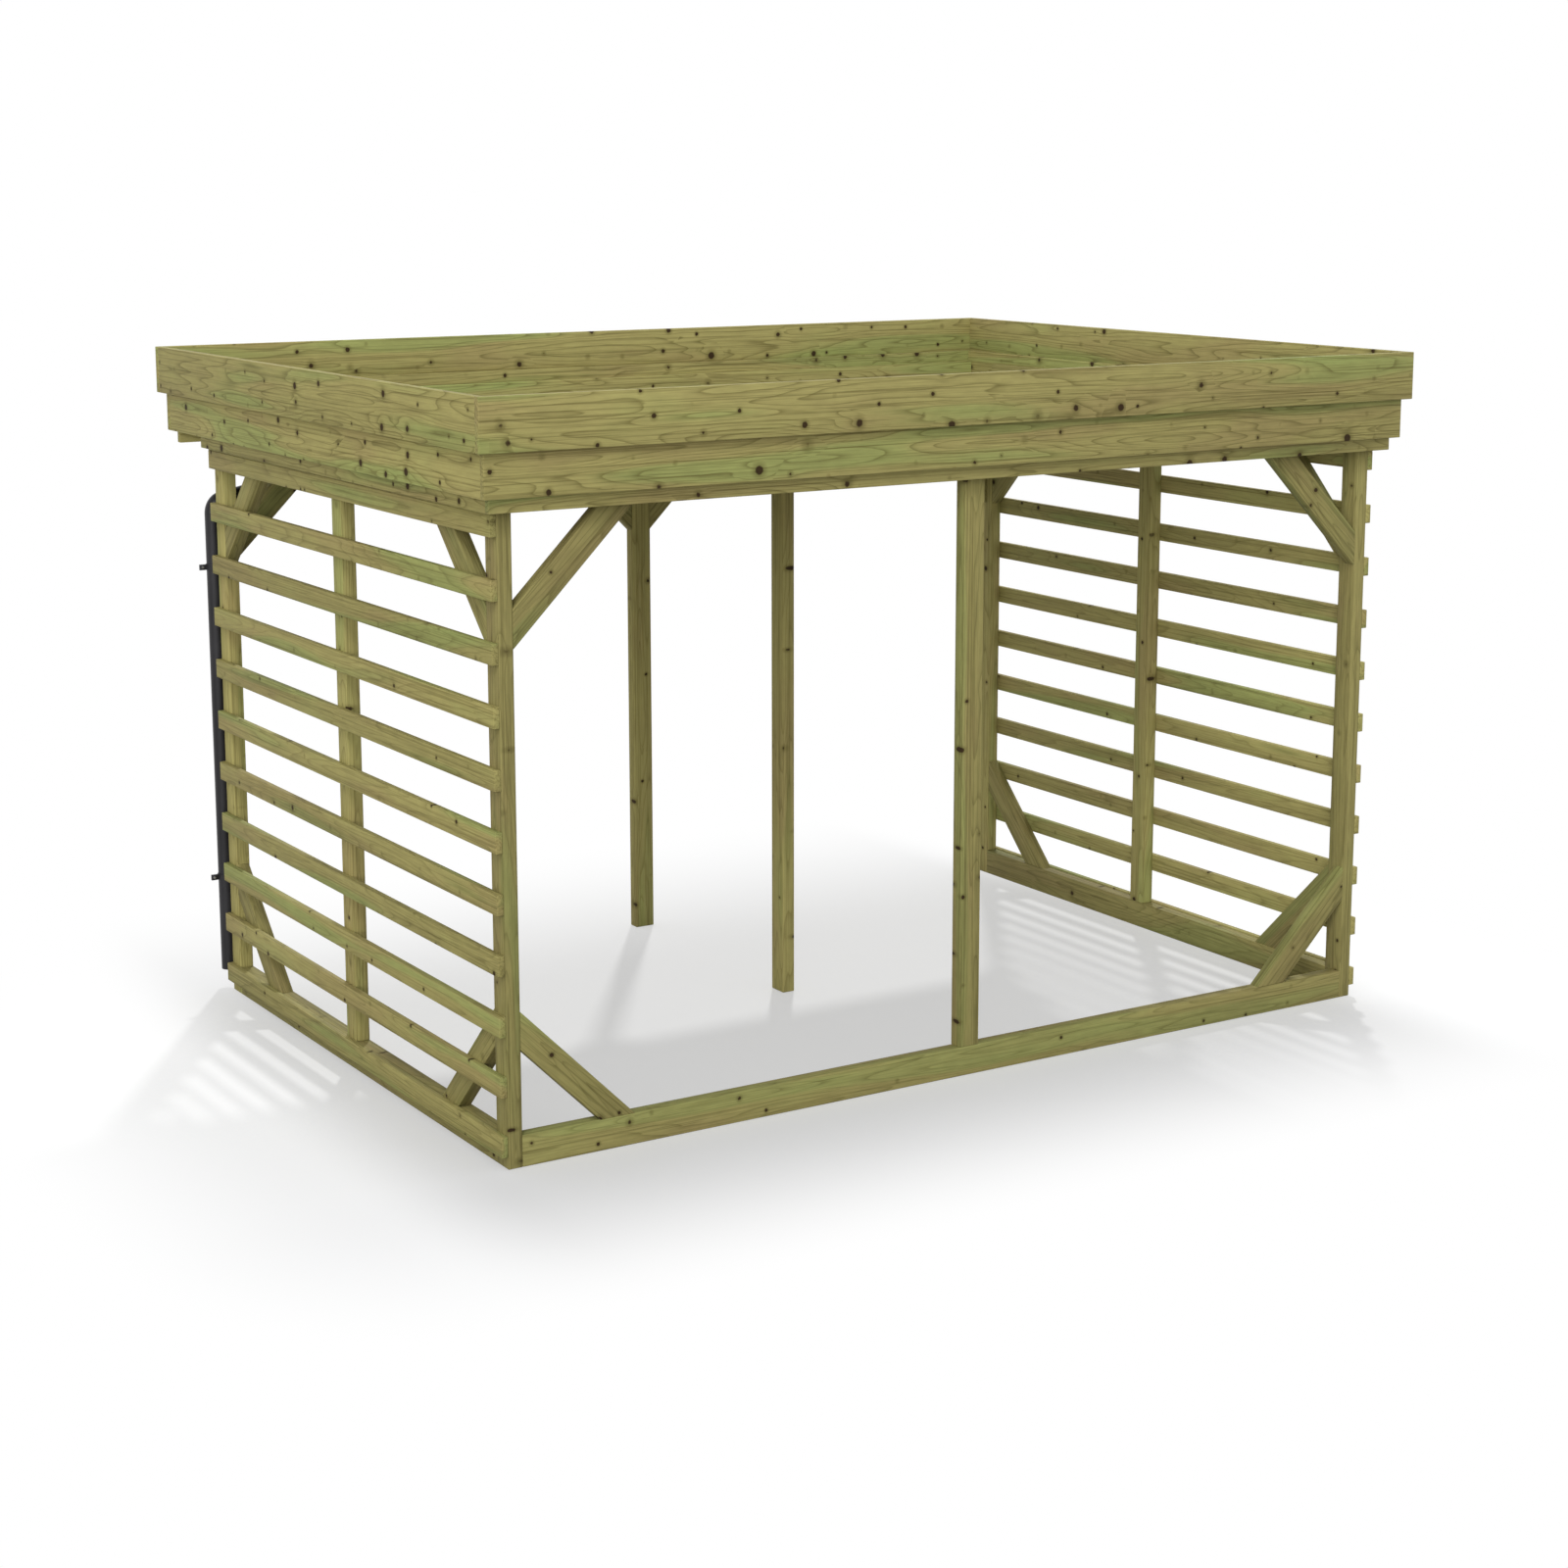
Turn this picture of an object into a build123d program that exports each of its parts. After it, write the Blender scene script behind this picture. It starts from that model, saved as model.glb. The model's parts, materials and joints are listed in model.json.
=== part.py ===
from build123d import *
import os

# An open timber log store with a stepped fascia round a shallow roof.
# X runs along the long front, Y runs to the rear, Z is up, the ground is Z 0.
# All sizes are in millimetres.

# Overall size, taken at the top course of fascia
roof_length = 3600.0
roof_depth = 2634.0
total_height = 2334.0

# Fascia boards, three stepped courses of the same board
fascia_thickness = 26.0
fascia_height = 163.0
second_course_drop = 135.0
third_course_drop = 179.0

# Planks of the frame
plank_thin = 48.0
plank_wide = 77.0
rail_height = 99.0
rear_overhang = 284.0
middle_row_shift = 41.5
beam_lift = 3.0

# Slats of the side walls
slat_thickness = 22.0
slat_height = 65.0
top_slat_gap = 9.5
bottom_slat_rise = 4.5
slat_count = 11

# Braces, planks cut to 45 degrees at both ends
brace_thickness = 45.0
brace_cut = 119.5
upper_brace_run = 411.0
lower_brace_run = 388.0

# Roof, hidden inside the fascia, with a small fall to the rear
deck_front_rise = 130.0
deck_rear_rise = 85.0
deck_lap = 26.0
deck_thickness = 15.0
felt_thickness = 3.0
joist_height = 70.0
joist_thickness = 45.0

# Gutter in the rear overhang
gutter_width = 100.0
gutter_height = 72.0
gutter_lift = 1.0
gutter_wall = 2.5
gutter_end_gap = 50.0
spigot_length = 22.0

# Downpipe with two elbows, and its clamps
pipe_radius = 30.0
pipe_wall = 1.8
pipe_post_gap = 29.0
pipe_inset = 10.0
pipe_foot = 65.0
elbow_drop = 206.0
elbow_rise = 40.0
outlet_run = 290.0
pipe_bend_radius = 47.0
clamp_thickness = 3.0
clamp_height = 20.0
clamp_ear_reach = 28.0
clamp_ear_thickness = 8.0
clamp_stem_radius = 5.0
lower_clamp_height = 414.0
upper_clamp_drop = 438.0

# Sizes that follow from the ones above
half_length = roof_length / 2
half_depth = roof_depth / 2
first_course_bottom = total_height - fascia_height
second_course_bottom = first_course_bottom - second_course_drop
third_course_bottom = first_course_bottom - third_course_drop
second_half_length = half_length - fascia_thickness
second_half_depth = half_depth - fascia_thickness
third_half_length = second_half_length - fascia_thickness
third_half_depth = second_half_depth - fascia_thickness
header_half_length = third_half_length - fascia_thickness
header_front = -(third_half_depth - fascia_thickness)
header_top = third_course_bottom + fascia_height
frame_half_length = header_half_length - slat_thickness
frame_front = header_front + fascia_thickness
frame_rear = half_depth - rear_overhang
middle_row_y = (frame_front + frame_rear) / 2 + middle_row_shift
post_inner_x = frame_half_length - plank_thin
front_post_rear = frame_front + plank_wide
rear_post_front = frame_rear - plank_wide
beam_underside = third_course_bottom + beam_lift
top_slat_top = third_course_bottom - top_slat_gap
bottom_slat_top = rail_height + bottom_slat_rise
slat_pitch = (top_slat_top - bottom_slat_top) / (slat_count - 1)
upper_brace_foot = beam_underside - upper_brace_run
lower_brace_head = rail_height + lower_brace_run
gutter_rear = third_half_depth - fascia_thickness
gutter_front = gutter_rear - gutter_width
gutter_bottom = beam_underside + gutter_lift
gutter_top = gutter_bottom + gutter_height
gutter_half_length = frame_half_length - gutter_end_gap
deck_front_underside = beam_underside + deck_front_rise
deck_rear_underside = beam_underside + deck_rear_rise
deck_rear_edge = gutter_front + deck_lap
deck_fall = (deck_front_underside - deck_rear_underside) / (deck_rear_edge - frame_front)
pipe_x = -(frame_half_length - pipe_inset)
pipe_y = frame_rear + pipe_post_gap + pipe_radius
pipe_elbow_height = beam_underside - elbow_drop
outlet_x = pipe_x + outlet_run
outlet_y = (gutter_front + gutter_rear) / 2
spigot_radius = pipe_radius - pipe_wall

os.makedirs("parts", exist_ok=True)


def block(x0, x1, y0, y1, z0, z1):
    """A box between two corners."""
    size = Box(x1 - x0, y1 - y0, z1 - z0)
    return Pos((x0 + x1) / 2, (y0 + y1) / 2, (z0 + z1) / 2) * size


def deck_underside(y):
    """Height of the deck's underside at a distance Y."""
    return deck_front_underside - deck_fall * (y - frame_front)


def slab_x(points_xz, y0, y1):
    """A plate cut to an outline in X and Z, between two values of Y."""
    face = make_face(Polyline(*[(x, y0, z) for x, z in points_xz], close=True))
    return Solid.extrude(face.face() if hasattr(face, "face") else face, Vector(0, y1 - y0, 0))


def slab_y(points_yz, x0, x1):
    """A plate cut to an outline in Y and Z, between two values of X."""
    face = make_face(Polyline(*[(x0, y, z) for y, z in points_yz], close=True))
    return Solid.extrude(face.face() if hasattr(face, "face") else face, Vector(x1 - x0, 0, 0))


def save(name, *solids):
    """Write one node, of one or more solids that don't touch."""
    shape = solids[0] if len(solids) == 1 else Compound(children=list(solids))
    export_step(shape, os.path.join("parts", name + ".step"))


# Posts. Those of the side walls and the centre one stand edge-on to the front
def edge_post(x_centre, y_centre, foot):
    """A plank post, thin along X and wide along Y."""
    half_thin = plank_thin / 2
    half_wide = plank_wide / 2
    return block(
        x_centre - half_thin, x_centre + half_thin,
        y_centre - half_wide, y_centre + half_wide,
        foot, beam_underside,
    )


side_post_x = frame_half_length - plank_thin / 2
front_row_y = frame_front + plank_wide / 2
rear_row_y = frame_rear - plank_wide / 2
for side, sign in (("left", -1), ("right", 1)):
    save("post_front_" + side, edge_post(sign * side_post_x, front_row_y, 0))
    save("post_middle_" + side, edge_post(sign * side_post_x, middle_row_y, rail_height))
    save("post_rear_" + side, edge_post(sign * side_post_x, rear_row_y, 0))
save("post_centre", edge_post(0, middle_row_y, 0))

# The middle posts of the front and rear rows are turned flat to the front
half_wide = plank_wide / 2
sill_rear = frame_front + plank_thin
rear_beam_front = frame_rear - plank_thin
save(
    "post_front_middle",
    block(-half_wide, half_wide, frame_front, sill_rear, rail_height, beam_underside),
)
save(
    "post_rear_middle",
    block(-half_wide, half_wide, rear_beam_front, frame_rear, 0, beam_underside),
)

# Bottom rails, butted between the posts
save("front_sill", block(-post_inner_x, post_inner_x, frame_front, sill_rear, 0, rail_height))
for side, sign in (("left", -1), ("right", 1)):
    low, high = sorted((sign * post_inner_x, sign * frame_half_length))
    save(
        side + "_bottom_rail",
        block(low, high, front_post_rear, rear_post_front, 0, rail_height),
    )

# Side walls of flat slats on the outer faces of the posts
for side, sign in (("left", -1), ("right", 1)):
    low, high = sorted((sign * frame_half_length, sign * (frame_half_length + slat_thickness)))
    slats = []
    for index in range(slat_count):
        top = top_slat_top - index * slat_pitch
        slats.append(block(low, high, frame_front, frame_rear, top - slat_height, top))
    save(side + "_slats", *slats)


# Braces. Each outline starts at the post face and runs away from it at 45 degrees
def upper_outline(post_face, direction):
    """Outline of a brace from a post up to the beam."""
    long_run = beam_underside - upper_brace_foot
    short_run = long_run - brace_cut
    return [
        (post_face, upper_brace_foot),
        (post_face + direction * long_run, beam_underside),
        (post_face + direction * short_run, beam_underside),
        (post_face, upper_brace_foot + brace_cut),
    ]


def lower_outline(post_face, direction):
    """Outline of a brace from a post down to the rail."""
    long_run = lower_brace_head - rail_height
    short_run = long_run - brace_cut
    return [
        (post_face, lower_brace_head),
        (post_face + direction * long_run, rail_height),
        (post_face + direction * short_run, rail_height),
        (post_face, lower_brace_head - brace_cut),
    ]


front_brace_y = (frame_front, frame_front + brace_thickness)
rear_brace_y = (frame_rear - brace_thickness, frame_rear)
save(
    "front_upper_braces",
    slab_x(upper_outline(-post_inner_x, 1), *front_brace_y),
    slab_x(upper_outline(post_inner_x, -1), *front_brace_y),
)
save(
    "front_lower_braces",
    slab_x(lower_outline(-post_inner_x, 1), *front_brace_y),
    slab_x(lower_outline(post_inner_x, -1), *front_brace_y),
)
save(
    "rear_corner_braces",
    slab_x(upper_outline(-post_inner_x, 1), *rear_brace_y),
    slab_x(upper_outline(post_inner_x, -1), *rear_brace_y),
)
save(
    "rear_middle_braces",
    slab_x(upper_outline(-half_wide, -1), *rear_brace_y),
    slab_x(upper_outline(half_wide, 1), *rear_brace_y),
)
for side, sign in (("left", -1), ("right", 1)):
    planes = sorted((sign * frame_half_length, sign * (frame_half_length - brace_thickness)))
    save(
        side + "_upper_braces",
        slab_y(upper_outline(front_post_rear, 1), *planes),
        slab_y(upper_outline(rear_post_front, -1), *planes),
    )
    save(
        side + "_lower_braces",
        slab_y(lower_outline(front_post_rear, 1), *planes),
        slab_y(lower_outline(rear_post_front, -1), *planes),
    )


# Fascia. Front and rear boards run the full length, side boards butt between them
def course(number, half_x, half_y, bottom, side_rear):
    """Four boards of one course, given its outer faces."""
    top = bottom + fascia_height
    inner_y = half_y - fascia_thickness
    save(
        "fascia_%d_front" % number,
        block(-half_x, half_x, -half_y, -inner_y, bottom, top),
    )
    save(
        "fascia_%d_rear" % number,
        block(-half_x, half_x, inner_y, half_y, bottom, top),
    )
    for side, sign in (("left", -1), ("right", 1)):
        low, high = sorted((sign * half_x, sign * (half_x - fascia_thickness)))
        save(
            "fascia_%d_%s" % (number, side),
            block(low, high, -inner_y, side_rear, bottom, top),
        )


course(1, half_length, half_depth, first_course_bottom, half_depth - fascia_thickness)
course(
    2, second_half_length, second_half_depth, second_course_bottom,
    second_half_depth - fascia_thickness,
)
course(3, third_half_length, third_half_depth, third_course_bottom, frame_rear)

# Packing boards between the frame and the third course
save(
    "front_header",
    block(
        -header_half_length, header_half_length, header_front, frame_front,
        beam_underside, header_top,
    ),
)
side_headers = []
for sign in (-1, 1):
    low, high = sorted((sign * frame_half_length, sign * header_half_length))
    side_headers.append(block(low, high, frame_front, frame_rear, top_slat_top, header_top))
save("side_headers", *side_headers)


# Beams on top of the posts, their tops cut to the fall of the roof
def sloped_beam(x0, x1, y0, y1, underside):
    """A beam with its top planed to the deck."""
    outline = [
        (y0, underside),
        (y1, underside),
        (y1, deck_underside(y1)),
        (y0, deck_underside(y0)),
    ]
    return slab_y(outline, x0, x1)


save(
    "side_top_beams",
    sloped_beam(-frame_half_length, -post_inner_x, frame_front, frame_rear, beam_underside),
    sloped_beam(post_inner_x, frame_half_length, frame_front, frame_rear, beam_underside),
)
save(
    "front_top_beam",
    sloped_beam(-post_inner_x, post_inner_x, frame_front, sill_rear, beam_underside),
)
save(
    "rear_top_beam",
    sloped_beam(-post_inner_x, post_inner_x, rear_beam_front, frame_rear, beam_underside),
)
half_thin = plank_thin / 2
save(
    "centre_top_beam",
    sloped_beam(-half_thin, half_thin, sill_rear, rear_beam_front, beam_underside),
)

# Joists across each half of the roof
joists = []
joist_span = rear_beam_front - sill_rear
for index in range(3):
    middle = sill_rear + joist_span * (index + 1) / 4
    y0 = middle - joist_thickness / 2
    y1 = middle + joist_thickness / 2
    foot = deck_underside(y1) - joist_height
    joists.append(sloped_beam(-post_inner_x, -half_thin, y0, y1, foot))
    joists.append(sloped_beam(half_thin, post_inner_x, y0, y1, foot))
save("roof_joists", *joists)


# Roof deck and its felt, both laid to the fall
def sloped_sheet(half_x, lift, thickness):
    """A sheet parallel to the deck, lifted off its underside."""
    front = deck_underside(frame_front) + lift
    rear = deck_underside(deck_rear_edge) + lift
    outline = [
        (frame_front, front),
        (deck_rear_edge, rear),
        (deck_rear_edge, rear + thickness),
        (frame_front, front + thickness),
    ]
    return slab_y(outline, -half_x, half_x)


save("roof_deck", sloped_sheet(frame_half_length, 0, deck_thickness))
save("roof_felt", sloped_sheet(frame_half_length, deck_thickness, felt_thickness))

# Box gutter against the inner face of the rear board, in flat plates
gutter_floor_top = gutter_bottom + gutter_wall
gutter_floor = block(
    -gutter_half_length, gutter_half_length, gutter_front, gutter_rear,
    gutter_bottom, gutter_floor_top,
)
spigot_place = Pos(outlet_x, outlet_y, gutter_bottom - spigot_length / 2)
gutter_floor += spigot_place * Cylinder(spigot_radius, spigot_length)
drain_length = 2 * (spigot_length + gutter_wall)
drain_place = Pos(outlet_x, outlet_y, gutter_bottom)
gutter_floor -= drain_place * Cylinder(spigot_radius - pipe_wall, drain_length)
save("gutter_floor", gutter_floor)
for side, near in (("front", gutter_front), ("rear", gutter_rear - gutter_wall)):
    save(
        "gutter_%s_wall" % side,
        block(
            -gutter_half_length, gutter_half_length, near, near + gutter_wall,
            gutter_floor_top, gutter_top,
        ),
    )
end_plates = []
for sign in (-1, 1):
    low, high = sorted((sign * gutter_half_length, sign * (gutter_half_length - gutter_wall)))
    end_plates.append(
        block(
            low, high, gutter_front + gutter_wall, gutter_rear - gutter_wall,
            gutter_floor_top, gutter_top,
        )
    )
save("gutter_ends", *end_plates)

# Downpipe, from the spigot across and down to the back of the corner post
pipe_path = FilletPolyline(
    (pipe_x, pipe_y, pipe_foot),
    (pipe_x, pipe_y, pipe_elbow_height),
    (outlet_x, outlet_y, pipe_elbow_height + elbow_rise),
    (outlet_x, outlet_y, gutter_bottom),
    radius=pipe_bend_radius,
)
pipe_start = Plane(origin=(pipe_x, pipe_y, pipe_foot), z_dir=(0, 0, 1))
pipe_ring = pipe_start * Circle(pipe_radius) - pipe_start * Circle(spigot_radius)
save("downpipe", sweep(pipe_ring, path=pipe_path))


# Pipe clamps, a band with two ears and a stem to the post
def clamp(level):
    """One clamp round the pipe at a height."""
    place = Pos(pipe_x, pipe_y, level)
    body = place * Cylinder(pipe_radius + clamp_thickness, clamp_height)
    ear_length = 2 * (pipe_radius + clamp_ear_reach)
    body += place * Box(ear_length, clamp_ear_thickness, clamp_height)
    body -= place * Cylinder(pipe_radius, 2 * clamp_height)
    stem_length = pipe_post_gap - clamp_thickness / 2
    stem = Cylinder(clamp_stem_radius, stem_length, rotation=(90, 0, 0))
    body += Pos(pipe_x, frame_rear + stem_length / 2, level) * stem
    return body


upper_clamp_height = beam_underside - upper_clamp_drop
save("pipe_clamps", *[clamp(level) for level in (lower_clamp_height, upper_clamp_height)])
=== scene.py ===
"""An open timber log store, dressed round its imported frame.

Every board of the frame is rebuilt with eased edges and its own run of grain.
The roof gets its boards and felt, and the rainwater goods their fixings.
"""
import json
import logging
import math
import random
from dataclasses import dataclass, field
from enum import Enum
from typing import Any, Dict, Iterable, List, Optional, Sequence, Tuple, Union

import bmesh
import bpy
from mathutils import Matrix, Vector

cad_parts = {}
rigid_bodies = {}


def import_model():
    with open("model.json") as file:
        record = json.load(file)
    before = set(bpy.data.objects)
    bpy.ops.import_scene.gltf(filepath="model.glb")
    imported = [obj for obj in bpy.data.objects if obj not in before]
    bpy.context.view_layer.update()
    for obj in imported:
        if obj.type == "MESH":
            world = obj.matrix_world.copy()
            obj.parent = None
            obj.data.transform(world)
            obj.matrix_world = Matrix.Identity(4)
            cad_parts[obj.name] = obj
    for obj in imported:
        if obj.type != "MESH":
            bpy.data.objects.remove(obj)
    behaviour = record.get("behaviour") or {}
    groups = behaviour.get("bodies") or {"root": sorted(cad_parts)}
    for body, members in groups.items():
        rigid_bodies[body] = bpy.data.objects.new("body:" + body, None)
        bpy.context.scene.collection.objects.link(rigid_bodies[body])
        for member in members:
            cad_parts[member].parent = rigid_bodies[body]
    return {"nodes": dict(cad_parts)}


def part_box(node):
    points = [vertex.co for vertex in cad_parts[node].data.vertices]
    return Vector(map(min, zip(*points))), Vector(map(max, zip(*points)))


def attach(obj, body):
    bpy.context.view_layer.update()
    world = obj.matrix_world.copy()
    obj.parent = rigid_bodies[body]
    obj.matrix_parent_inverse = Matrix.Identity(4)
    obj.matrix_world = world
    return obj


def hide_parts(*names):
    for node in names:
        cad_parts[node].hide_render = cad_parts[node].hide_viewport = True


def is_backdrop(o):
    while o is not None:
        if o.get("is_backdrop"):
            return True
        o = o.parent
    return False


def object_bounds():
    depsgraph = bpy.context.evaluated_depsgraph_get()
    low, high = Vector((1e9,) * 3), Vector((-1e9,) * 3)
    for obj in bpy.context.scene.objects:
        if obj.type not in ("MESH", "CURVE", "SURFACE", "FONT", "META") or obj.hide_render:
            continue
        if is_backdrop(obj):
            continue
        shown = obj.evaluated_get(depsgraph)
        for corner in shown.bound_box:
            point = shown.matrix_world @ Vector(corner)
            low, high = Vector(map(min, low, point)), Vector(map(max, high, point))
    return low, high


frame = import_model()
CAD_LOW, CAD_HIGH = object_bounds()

log = logging.getLogger("log_store")

Colour = Tuple[float, float, float]
Scale = Tuple[float, float, float]
Direction = Tuple[float, float, float]
Span = Tuple[float, float]
BODY = "root"
GRAIN = "grain"
# Each board's random tone plus the painted light that its lift adds.
TONE_AND_PAINTED_LIGHT = "tone"
WHITE = (1.0, 1.0, 1.0, 1.0)

# Vertices nearer than this are one, and faces within the flat angle are one face.
MERGE_DISTANCE = 1e-5
FLAT_ANGLE = math.radians(1)

# Edges sharper than the first are rounded, and than the second are shaded as sharp.
EASED_ANGLE = math.radians(20)
SMOOTH_ANGLE = math.radians(35)

# Lengths that agree to this many decimals count as equal.
LENGTH_DIGITS = 5

# How far a side face's normal may lean towards the board's length.
SIDE_LEAN = 0.1


class Side(Enum):
    """A side of the store, seen from the front."""

    FRONT = "front"
    REAR = "rear"
    LEFT = "left"
    RIGHT = "right"


class Ray(Enum):
    """The rays that show a background and don't light the store."""

    CAMERA = "Is Camera Ray"
    GLOSS = "Is Glossy Ray"
    THROUGH = "Is Transmission Ray"


class Value:
    """A shader socket whose operators add Math nodes."""

    def __init__(self, tree: "Tree", socket: Optional[bpy.types.NodeSocket]) -> None:
        """Keeps the socket and the tree that it is in."""
        self.tree = tree
        self.socket = socket

    def math(self, operation: str, *others: "Number") -> "Value":
        """Adds a Math node with this value as its first input.

        Args:
            operation: The Math node's operation.
            others: The remaining inputs, as values or numbers.

        Returns:
            The node's result.
        """
        inputs = dict(enumerate((self, *others)))
        return self.tree.node("ShaderNodeMath", {"operation": operation}, inputs)

    def __add__(self, other: "Number") -> "Value":
        """Adds."""
        return self.math("ADD", other)

    def __radd__(self, other: "Number") -> "Value":
        """Adds, with the number first."""
        return self.math("ADD", other)

    def __sub__(self, other: "Number") -> "Value":
        """Subtracts."""
        return self.math("SUBTRACT", other)

    def __rsub__(self, other: float) -> "Value":
        """Subtracts this value from a number."""
        inputs = {0: other, 1: self}
        return self.tree.node("ShaderNodeMath", {"operation": "SUBTRACT"}, inputs)

    def __mul__(self, other: "Number") -> "Value":
        """Multiplies."""
        return self.math("MULTIPLY", other)

    def __rmul__(self, other: "Number") -> "Value":
        """Multiplies, with the number first."""
        return self.math("MULTIPLY", other)

    def __pow__(self, other: "Number") -> "Value":
        """Raises to a power."""
        return self.math("POWER", other)

    def step(self, low: "Number", high: "Number") -> "Value":
        """A smooth rise from 0 at low to 1 at high.

        Args:
            low: Where the rise starts.
            high: Where the rise ends. It may be less than low, for a fall.

        Returns:
            The value after the rise.
        """
        settings = {"interpolation_type": "SMOOTHSTEP"}
        inputs = {"Value": self, "From Min": low, "From Max": high}
        return self.tree.node("ShaderNodeMapRange", settings, inputs)

    def swing(self, amount: float) -> "Value":
        """The value's swing round one half, made larger or smaller."""
        return (self - 0.5) * amount

    def beside(self, output: Union[str, int]) -> "Value":
        """Another output of the node that this value comes from."""
        return Value(self.tree, self.socket.node.outputs[output])


Number = Union[float, int, Value]


class Tree:
    """The node tree of one material or of the world."""

    def __init__(self, owner: Union[bpy.types.Material, bpy.types.World]) -> None:
        """Empties the owner's tree.

        Args:
            owner: The material or the world.
        """
        self.owner = owner
        self.owner.use_nodes = True
        self.nodes = self.owner.node_tree.nodes
        self.links = self.owner.node_tree.links
        self.nodes.clear()

    @classmethod
    def named(cls, name: str) -> "Tree":
        """Makes a material with an empty tree.

        Args:
            name: The material's name.

        Returns:
            Its tree.
        """
        return cls(bpy.data.materials.new(name))

    def node(
        self,
        kind: str,
        settings: Optional[Dict[str, Any]] = None,
        inputs: Optional[Dict[Union[str, int], Any]] = None,
        output: Union[str, int] = 0,
    ) -> Value:
        """Adds any node.

        Args:
            kind: The node's type.
            settings: Its properties, such as a Math node's operation.
            inputs: Its sockets' values or links, by name or index.
            output: The socket that is returned.

        Returns:
            The chosen output, or an empty value for a node without outputs.
        """
        made = self.nodes.new(kind)
        for key, setting in (settings or {}).items():
            setattr(made, key, setting)
        for key, item in (inputs or {}).items():
            if isinstance(item, Value):
                self.links.new(item.socket, made.inputs[key])
            else:
                made.inputs[key].default_value = item
        return Value(self, made.outputs[output] if made.outputs else None)

    def seen(self) -> Value:
        """Tells the rays that show a background from those that light the store.

        Returns:
            1 for rays from the camera, off gloss and through glass, else 0.
        """
        camera = self.node("ShaderNodeLightPath", {}, {}, Ray.CAMERA.value)
        gloss = camera.math("MAXIMUM", camera.beside(Ray.GLOSS.value))
        return gloss.math("MAXIMUM", camera.beside(Ray.THROUGH.value))

    def attribute(self, name: str, output: str) -> Value:
        """Reads a mesh attribute.

        Args:
            name: The attribute.
            output: "Vector" or "Fac".

        Returns:
            The attribute's value.
        """
        return self.node("ShaderNodeAttribute", {"attribute_name": name}, {}, output)

    def scaled(self, vector: Value, factors: Sequence[float]) -> Value:
        """A vector with each part multiplied.

        Args:
            vector: The vector.
            factors: The three factors.

        Returns:
            The scaled vector.
        """
        settings = {"operation": "MULTIPLY"}
        return self.node("ShaderNodeVectorMath", settings, {0: vector, 1: tuple(factors)})

    def noise(
        self, place: Value, run: Scale, detail: float, roughness: float = 0.5
    ) -> Value:
        """Noise with its own scale each way.

        Args:
            place: Where it is read.
            run: How quickly it changes along, across and through.
            detail: The number of finer layers.
            roughness: How strong the finer layers are.

        Returns:
            The noise, about 0 to 1.
        """
        inputs = {
            "Vector": self.scaled(place, run),
            "Scale": 1.0,
            "Detail": detail,
            "Roughness": roughness,
        }
        return self.node("ShaderNodeTexNoise", {"noise_dimensions": "3D"}, inputs)

    def mix(self, first: Any, second: Any, factor: Number) -> Value:
        """Mixes two colours.

        Args:
            first: The colour at factor 0.
            second: The colour at factor 1.
            factor: The share of the second.

        Returns:
            The mixed colour.
        """
        inputs: Dict[Union[str, int], Any] = {0: factor}
        for socket, item in ((6, first), (7, second)):
            inputs[socket] = item if isinstance(item, Value) else (*item, 1.0)
        return self.node("ShaderNodeMix", {"data_type": "RGBA"}, inputs, 2)

    def tinted(self, colour: Value, brightness: Value) -> Value:
        """A colour made lighter or darker by a value.

        Args:
            colour: The colour.
            brightness: 1 keeps the colour.

        Returns:
            The changed colour.
        """
        inputs = {"Color": colour, "Value": brightness}
        return self.node("ShaderNodeHueSaturation", {}, inputs)

    def bump(self, height: Value, distance: float, strength: float) -> Value:
        """Turns a height into a normal.

        Args:
            height: The height, 0 to 1.
            distance: The real height of 1, in metres.
            strength: How much of it shows.

        Returns:
            The normal.
        """
        inputs = {"Height": height, "Distance": distance, "Strength": strength}
        return self.node("ShaderNodeBump", {}, inputs)

    def finish(self, inputs: Dict[str, Any]) -> bpy.types.Material:
        """Ends the tree with a surface.

        Args:
            inputs: The surface's values or links, by socket name.

        Returns:
            The finished material.
        """
        surface = self.node("ShaderNodeBsdfPrincipled", {}, inputs)
        self.node("ShaderNodeOutputMaterial", {}, {"Surface": surface})
        return self.owner


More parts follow.
